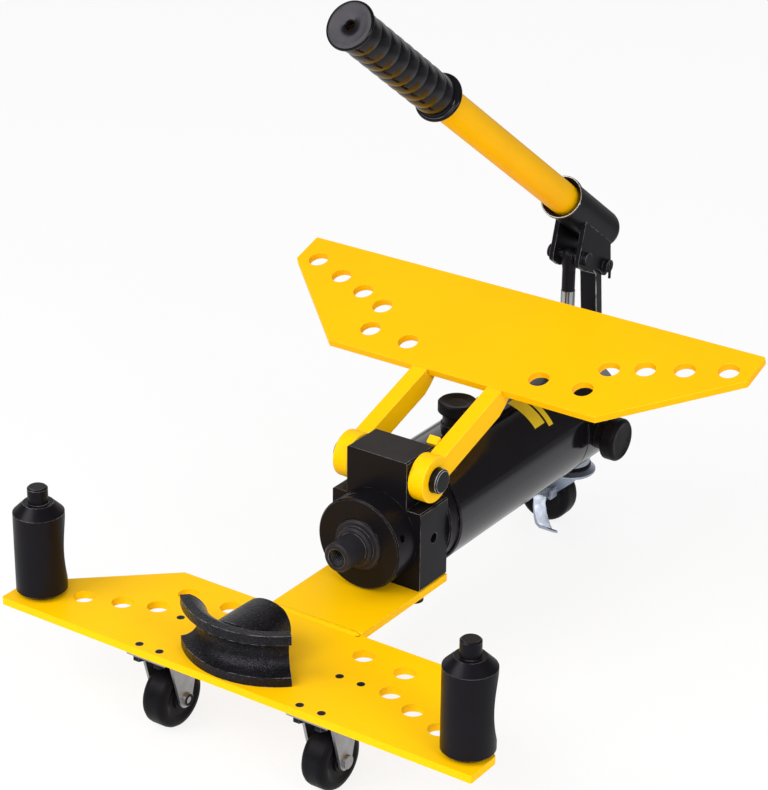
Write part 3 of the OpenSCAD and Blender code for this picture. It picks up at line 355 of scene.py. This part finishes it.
def rounded_copy(name, width):
    """A copy of a CAD node with its sharp edges rounded, which stands for the node."""
    node = nodes[name]
    mesh = node.data.copy()
    shape = bmesh.new()
    shape.from_mesh(mesh)
    bmesh.ops.remove_doubles(shape, verts=shape.verts, dist=MERGE_DISTANCE)
    bmesh.ops.dissolve_limit(shape, angle_limit=FLAT_ANGLE, verts=shape.verts, edges=shape.edges)
    for face in shape.faces:
        face.smooth = True
    shape.to_mesh(mesh)
    shape.free()
    if "custom_normal" in mesh.attributes:
        mesh.attributes.remove(mesh.attributes["custom_normal"])
    copy = bpy.data.objects.new(name + "_edged", mesh)
    bpy.context.scene.collection.objects.link(copy)
    bevel = copy.modifiers.new("round", "BEVEL")
    bevel.width = width * MM
    bevel.segments = ROUNDING_STEPS
    bevel.limit_method = "ANGLE"
    bevel.angle_limit = SHARP_ANGLE
    bevel.miter_outer = "MITER_ARC"
    weigh = copy.modifiers.new("weigh", "WEIGHTED_NORMAL")
    weigh.keep_sharp = False
    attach(copy, node["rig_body"])
    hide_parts(name)
    dress(copy, finish_of(name))
    if slot_of[name] in worn_lit_edge_finishes:
        mesh.materials.append(worn_lit_edge_finishes[slot_of[name]])
        bevel.material = 1
    return copy


for name, width in EDGE_ROUNDING.items():
    rounded_copy(name, width)

# Pieces of the looks that the solids only outline, each in mesh code with sizes in millimetres


def add_piece(name, vertices, faces, body, material, smooth=True):
    """An object from points in millimetres in the common frame, riding on a body."""
    mesh = bpy.data.meshes.new(name)
    mesh.from_pydata([tuple(MM * c for c in v) for v in vertices], [], faces)
    for polygon in mesh.polygons:
        polygon.use_smooth = smooth
    obj = bpy.data.objects.new(name, mesh)
    bpy.context.scene.collection.objects.link(obj)
    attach(obj, body)
    dress(obj, material)
    return obj


def box_mm(name):
    low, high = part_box(name)
    return low / MM, high / MM


def grid_faces(rows, columns, closed=False):
    """Four-sided faces over points laid row by row; closed joins the last column to the first."""
    last = columns if closed else columns - 1
    return [(i * columns + j, i * columns + (j + 1) % columns,
             (i + 1) * columns + (j + 1) % columns, (i + 1) * columns + j)
            for i in range(rows - 1) for j in range(last)]


def lathe(name, profile, centre, along, body, material, steps=96):
    """Turns (radius, distance) points about a line through centre."""
    along = Vector(along).normalized()
    side = along.orthogonal().normalized()
    other = along.cross(side)
    points = []
    for radius, distance in profile:
        for j in range(steps):
            turn = 2 * math.pi * j / steps
            out = side * math.cos(turn) + other * math.sin(turn)
            points.append(centre + along * distance + out * radius)
    return add_piece(name, points, grid_faces(len(profile), steps, True), body, material)


def body_of(name):
    return nodes[name]["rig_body"]


# Thread in the hole of the ram nose
THREAD_PITCH = 2.5
THREAD_DEEP = 1.1
THREAD_TURNS = 9
THREAD_STEPS = 48
NOSE_HOLE_R = 9.5
THREAD_INSET = 0.8
THREAD_ROOT_R = NOSE_HOLE_R + 0.05
THREAD_FORM = [(THREAD_ROOT_R, 0.0), (NOSE_HOLE_R - THREAD_DEEP, 0.44), (THREAD_ROOT_R, 0.88)]


def nose_thread():
    front = box_mm("ram")[0].y
    points = []
    rows = THREAD_TURNS * THREAD_STEPS + 1
    for i in range(rows):
        turn = 2 * math.pi * i / THREAD_STEPS
        start = front + THREAD_INSET + THREAD_PITCH * i / THREAD_STEPS
        for radius, shift in THREAD_FORM:
            points.append((radius * math.cos(turn), start + THREAD_PITCH * shift,
                           ram_height / MM + radius * math.sin(turn)))
    faces = grid_faces(rows, len(THREAD_FORM))
    add_piece("nose_thread", points, faces, body_of("ram"), finishes["black_steel"], False)


# Blank label patches on the reservoir tube: distances from the tube's rear end and angles from its top
LABELS = {"large": ((-84.0, -66.0), (10.0, 48.5)), "small": ((-62.5, -54.7), (10.0, 54.0))}
LABEL_THICK = 0.25
LABEL_STEPS = 24


def tube_labels():
    low, high = box_mm("reservoir_tube")
    radius = (high.x - low.x) / 2 + LABEL_THICK
    for name, (ends, angles) in LABELS.items():
        points = []
        for i in range(LABEL_STEPS + 1):
            turn = math.radians(angles[0] + (angles[1] - angles[0]) * i / LABEL_STEPS)
            for r, y in ((radius - 2 * LABEL_THICK, ends[0]), (radius, ends[0]),
                         (radius, ends[1]), (radius - 2 * LABEL_THICK, ends[1])):
                points.append((r * math.sin(turn), high.y + y, ram_height / MM + r * math.cos(turn)))
        last = LABEL_STEPS * 4
        faces = grid_faces(LABEL_STEPS + 1, 4) + [(0, 1, 2, 3), (last + 3, last + 2, last + 1, last)]
        add_piece("tube_label_" + name, points, faces, body_of("reservoir_tube"),
                  label_print, False)


# Ribbed grip on the handle
HANDLE_SLOPE = math.radians(36)
HANDLE_OUT = Vector((0, -math.cos(HANDLE_SLOPE), math.sin(HANDLE_SLOPE)))
GRIP_LEN = 182.0
GRIP_RIBS = 9
GRIP_FLANGE = 7.0
GRIP_BASE_R = 19.2
GRIP_RIB_R = 20.5
GRIP_END_R = 23.9
GRIP_END_START = 0.6
GRIP_COLLAR_R = 24.5
GRIP_LIP_R = 2.3
GRIP_INNER_R = 16.9
GRIP_HOLE_R = 4.5
GRIP_PAST_TUBE = 8.0
GRIP_END_FACE = [(GRIP_HOLE_R, GRIP_PAST_TUBE), (GRIP_HOLE_R, 1.6), (GRIP_HOLE_R + 1, 1.1),
                 (12.0, 1.0), (18.0, 0.8)]
GRIP_LIP_GAP = 0.4
LIP_STEPS = 8
RIB_STEPS = 14
RIB_FULLNESS = 0.55


def tube_half_length():
    """Half length of the handle tube along its own slope, from its box."""
    low, high = box_mm("handle_tube")
    width = high.x - low.x
    return (high.y - low.y - width * math.sin(HANDLE_SLOPE)) / math.cos(HANDLE_SLOPE) / 2


def grip_lip(radius, start):
    """Half round of a lip that begins at start, as (radius, distance) points."""
    turns = [math.pi * i / LIP_STEPS for i in range(LIP_STEPS + 1)]
    return [(radius - GRIP_LIP_R * (1 - math.sin(turn)), start + GRIP_LIP_R * (1 - math.cos(turn)))
            for turn in turns]


def handle_grip():
    low, high = box_mm("handle_tube")
    end = (low + high) / 2 + HANDLE_OUT * (tube_half_length() + GRIP_PAST_TUBE)
    pitch = (GRIP_LEN - 2 * GRIP_FLANGE) / GRIP_RIBS
    collar_start = GRIP_LEN - 2 * GRIP_LIP_R
    profile = GRIP_END_FACE + grip_lip(GRIP_END_R, GRIP_END_START)
    profile.append((GRIP_BASE_R, GRIP_END_START + 2 * GRIP_LIP_R + GRIP_LIP_GAP))
    for rib in range(GRIP_RIBS):
        for i in range(RIB_STEPS):
            share = i / RIB_STEPS
            swell = math.sin(math.pi * share) ** RIB_FULLNESS
            radius = GRIP_BASE_R + (GRIP_RIB_R - GRIP_BASE_R) * swell
            profile.append((radius, GRIP_FLANGE + pitch * (rib + share)))
    profile.append((GRIP_BASE_R, collar_start - GRIP_LIP_GAP))
    profile += grip_lip(GRIP_COLLAR_R, collar_start)
    profile.append((GRIP_INNER_R, GRIP_LEN))
    grip = lathe("ribbed_grip", profile, end, -HANDLE_OUT, body_of("handle_grip"),
                 finishes["grip_rubber"])
    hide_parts("handle_grip")


# Bright steel rim on the socket mouth, a painted highlight of its lit lip, and the dark seal in the rear
# caster's bearing
SOCKET_MOUTH_R = 23.25
SOCKET_PAST_TUBE = 90.0
RIM_R = 1.0
RIM_HALF = 0.95
RIM_STEPS = 12
RIM_START = 0.1
SEAL_FORM = [(21.3, 0.6), (22.4, 0.8), (22.8, 1.6), (22.8, 3.0), (22.4, 3.8), (21.3, 4.0)]


def socket_lit_rim():
    low, high = box_mm("handle_tube")
    mouth = (low + high) / 2 - HANDLE_OUT * (tube_half_length() - SOCKET_PAST_TUBE)
    profile = []
    for i in range(RIM_STEPS + 1):
        turn = math.pi * (RIM_START + i / RIM_STEPS)
        profile.append((SOCKET_MOUTH_R - RIM_R + RIM_HALF * math.cos(turn), RIM_R - RIM_R * math.sin(turn)))
    lathe("socket_lit_rim", profile, mouth, -HANDLE_OUT, body_of("handle_socket"),
          finishes["bright_steel"])


def swivel_seal():
    low, high = box_mm("rear_caster_race")
    fork_top = box_mm("rear_fork")[1].z
    centre = Vector(((low.x + high.x) / 2, (low.y + high.y) / 2, fork_top))
    lathe("swivel_seal", SEAL_FORM, centre, (0, 0, 1), body_of("rear_caster_race"),
          finishes["seal_rubber"])


# Dark snap rings on the ends of the left front axle
AXLE_RING_STEPS = 48
AXLE_RING = [(5.9, -0.2), (5.9, 0.5), (5.3, 1.0), (4.2, 1.0), (3.6, 0.5), (3.3, -0.2)]


def axle_rings():
    low, high = box_mm("left_axle")
    middle = (low + high) / 2
    for side, x in (("left", low.x), ("right", high.x)):
        out = (1 if x > middle.x else -1, 0, 0)
        centre = Vector((x, middle.y, middle.z))
        lathe("left_axle_ring_" + side, AXLE_RING, centre, out, body_of("left_axle"),
              finishes["black_steel"], AXLE_RING_STEPS)


# Weld bead with overlapping ripples, and its sideways wobbles as size, rate and start
RIPPLE = 3.6
RIPPLE_SAG = 2.2
RIPPLE_SHARE = 0.26
RIPPLE_FALL = 0.7
BEAD_HALF = 4.4
BEAD_CROWN = 1.9
BEAD_SINK = 0.25
BEAD_INSET = 0.3
BEAD_END_SHARE = 0.35
BEAD_ROWS_PER_MM = 2.5
BEAD_COLUMNS = 13
WOBBLES = [(0.35, 0.7, 0.0), (0.2, 1.9, 1.0)]


def weld(name, start, end, out, body, slot):
    """A rippled bead from start to end that stands out along out."""
    start, end, out = Vector(start), Vector(end), Vector(out).normalized()
    length = (end - start).length
    run = (end - start) / length
    across = out.cross(run)
    rows = int(length * BEAD_ROWS_PER_MM) + 1
    points = []
    for i in range(rows):
        travel = length * i / (rows - 1)
        taper = min(1.0, BEAD_END_SHARE + min(travel, length - travel) / BEAD_HALF / 2)
        wobble = sum(size * math.sin(travel * rate + begin) for size, rate, begin in WOBBLES)
        for j in range(BEAD_COLUMNS):
            u = 2 * j / (BEAD_COLUMNS - 1) - 1
            wave = ((travel + RIPPLE_SAG * u * u) / RIPPLE) % 1.0
            ripple = 1 - RIPPLE_SHARE + RIPPLE_SHARE * (1 - wave) ** RIPPLE_FALL
            height = BEAD_CROWN * (1 - u * u) * taper * ripple - BEAD_SINK
            shift = u * BEAD_HALF * taper + wobble * (1 - abs(u))
            points.append(start + run * travel + across * shift + out * height)
    return add_piece(name, points, grid_faces(rows, BEAD_COLUMNS), body, finishes[slot])


def tongue_weld():
    low, high = box_mm("weld_bead")
    middle = (low.y + high.y) / 2
    top = box_mm("tongue_plate")[1].z
    start = (low.x + BEAD_INSET, middle, top)
    end = (high.x - BEAD_INSET, middle, top)
    seam = weld("tongue_weld", start, end, (0, 0, 1), body_of("weld_bead"), "yellow_paint")
    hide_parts("weld_bead")


nose_thread()
tube_labels()
handle_grip()
socket_lit_rim()
swivel_seal()
axle_rings()
tongue_weld()

# Studio: pale floor, white world and three soft lamps
FLOOR_HALF = 9.0
FLOOR_PALE = (0.90, 0.90, 0.90)
FLOOR_SHADE = (0.88, 0.88, 0.88)
LAMPS = {"key": ((-1.2, -2.2, 2.3), 1.8, 52.0), "fill": ((2.3, -1.0, 1.4), 0.8, 20.0),
         "front": ((0.7, -2.6, 1.9), 1.4, 26.0)}
LAMP_TARGET = Vector((0, 0, 0.25))
WORLD_LIGHT = 0.66

# What mirrors see: the sky is dark but for the side behind the object, the floor but for the part near it
BACK_WAY = (-0.565, 0.825, 0.0)
BACK_START = 0.55
BACK_FULL = 0.85
SKY_DARK = 0.12
SKY_BACK = 1.0
FLOOR_NEAR = 0.7
FLOOR_FAR = 1.5
FLOOR_NEAR_GLOW = 0.75
FLOOR_FAR_GLOW = 0.15
FLOOR_GLOW = 0.84


def straight_rays(tree):
    """1 for rays that see the background straight on, in a mirror or through glass."""
    path = tree.nodes.new("ShaderNodeLightPath")
    total = path.outputs["Is Camera Ray"]
    for other in ("Is Glossy Ray", "Is Transmission Ray"):
        join = tree.nodes.new("ShaderNodeMath")
        join.operation = "MAXIMUM"
        tree.links.new(total, join.inputs[0])
        tree.links.new(path.outputs[other], join.inputs[1])
        total = join.outputs[0]
    return total


def pale_floor():
    mesh = bpy.data.meshes.new("floor")
    corners = [(-FLOOR_HALF, -FLOOR_HALF, 0), (FLOOR_HALF, -FLOOR_HALF, 0),
               (FLOOR_HALF, FLOOR_HALF, 0), (-FLOOR_HALF, FLOOR_HALF, 0)]
    mesh.from_pydata(corners, [], [(0, 1, 2, 3)])
    floor = bpy.data.objects.new("floor", mesh)
    bpy.context.scene.collection.objects.link(floor)
    g = Graph("pale_floor")
    body = g.mix(g.span(g.noise(3.0, 2.0), 0.3, 0.7), FLOOR_PALE, FLOOR_SHADE)
    g.finish(body, 0.7, shine=0.1)
    reach = g.add("ShaderNodeVectorMath")
    reach.operation = "LENGTH"
    g.put(reach.inputs[0], g.place)
    near = g.span(reach.outputs["Value"], FLOOR_NEAR, FLOOR_FAR, FLOOR_NEAR_GLOW, FLOOR_FAR_GLOW)
    camera_ray = g.add("ShaderNodeLightPath").outputs["Is Camera Ray"]
    glow = g.add("ShaderNodeEmission", Strength=g.math("MAXIMUM", camera_ray, near))
    blend = g.add("ShaderNodeMixShader")
    share = g.math("MULTIPLY", straight_rays(g.tree), FLOOR_GLOW)
    g.put(blend.inputs[0], share)
    g.put(blend.inputs[1], g.shader.outputs[0])
    g.put(blend.inputs[2], glow.outputs[0])
    g.put(g.tree.nodes["Material Output"].inputs["Surface"], blend.outputs[0])
    mesh.materials.append(g.material)


def white_world():
    world = bpy.data.worlds.new("studio")
    bpy.context.scene.world = world
    world.use_nodes = True
    tree = world.node_tree
    light = tree.nodes["Background"]
    light.inputs["Color"].default_value = (1, 1, 1, 1)
    light.inputs["Strength"].default_value = WORLD_LIGHT
    seen = tree.nodes.new("ShaderNodeBackground")
    way = tree.nodes.new("ShaderNodeTexCoord")
    back = tree.nodes.new("ShaderNodeVectorMath")
    back.operation = "DOT_PRODUCT"
    tree.links.new(way.outputs["Generated"], back.inputs[0])
    back.inputs[1].default_value = BACK_WAY
    sky = tree.nodes.new("ShaderNodeMapRange")
    spans = {"From Min": BACK_START, "From Max": BACK_FULL, "To Min": SKY_DARK, "To Max": SKY_BACK}
    for name, number in spans.items():
        sky.inputs[name].default_value = number
    tree.links.new(back.outputs["Value"], sky.inputs["Value"])
    path = tree.nodes.new("ShaderNodeLightPath")
    strength = tree.nodes.new("ShaderNodeMath")
    strength.operation = "MAXIMUM"
    tree.links.new(path.outputs["Is Camera Ray"], strength.inputs[0])
    tree.links.new(sky.outputs[0], strength.inputs[1])
    tree.links.new(strength.outputs[0], seen.inputs["Strength"])
    blend = tree.nodes.new("ShaderNodeMixShader")
    tree.links.new(straight_rays(tree), blend.inputs[0])
    tree.links.new(light.outputs[0], blend.inputs[1])
    tree.links.new(seen.outputs[0], blend.inputs[2])
    tree.links.new(blend.outputs[0], tree.nodes["World Output"].inputs["Surface"])


def lamp(name, place, size, power):
    data = bpy.data.lights.new(name, "AREA")
    data.shape = "SQUARE"
    data.size = size
    data.energy = power
    obj = bpy.data.objects.new(name, data)
    obj.location = place
    obj.rotation_euler = (LAMP_TARGET - Vector(place)).to_track_quat("-Z", "Y").to_euler()
    bpy.context.scene.collection.objects.link(obj)


def camera():
    azimuth, elevation, roll = (math.radians(a) for a in (CAMERA_AZIMUTH, CAMERA_ELEVATION, CAMERA_ROLL))
    data = bpy.data.cameras.new("camera")
    data.sensor_fit = "VERTICAL"
    data.sensor_height = SENSOR
    data.lens = FOCAL_PIXELS / PICTURE_HEIGHT * SENSOR
    obj = bpy.data.objects.new("camera", data)
    turn = Matrix.Rotation(azimuth, 4, "Z") @ Matrix.Rotation(math.pi / 2 - elevation, 4, "X")
    turn = turn @ Matrix.Rotation(roll, 4, "Z")
    obj.matrix_world = Matrix.Translation(CAMERA_PLACE) @ turn
    bpy.context.scene.collection.objects.link(obj)
    bpy.context.scene.camera = obj


pale_floor()
white_world()
for name, (place, size, power) in LAMPS.items():
    lamp(name, place, size, power)
camera()
bpy.context.scene.view_settings.view_transform = "Standard"
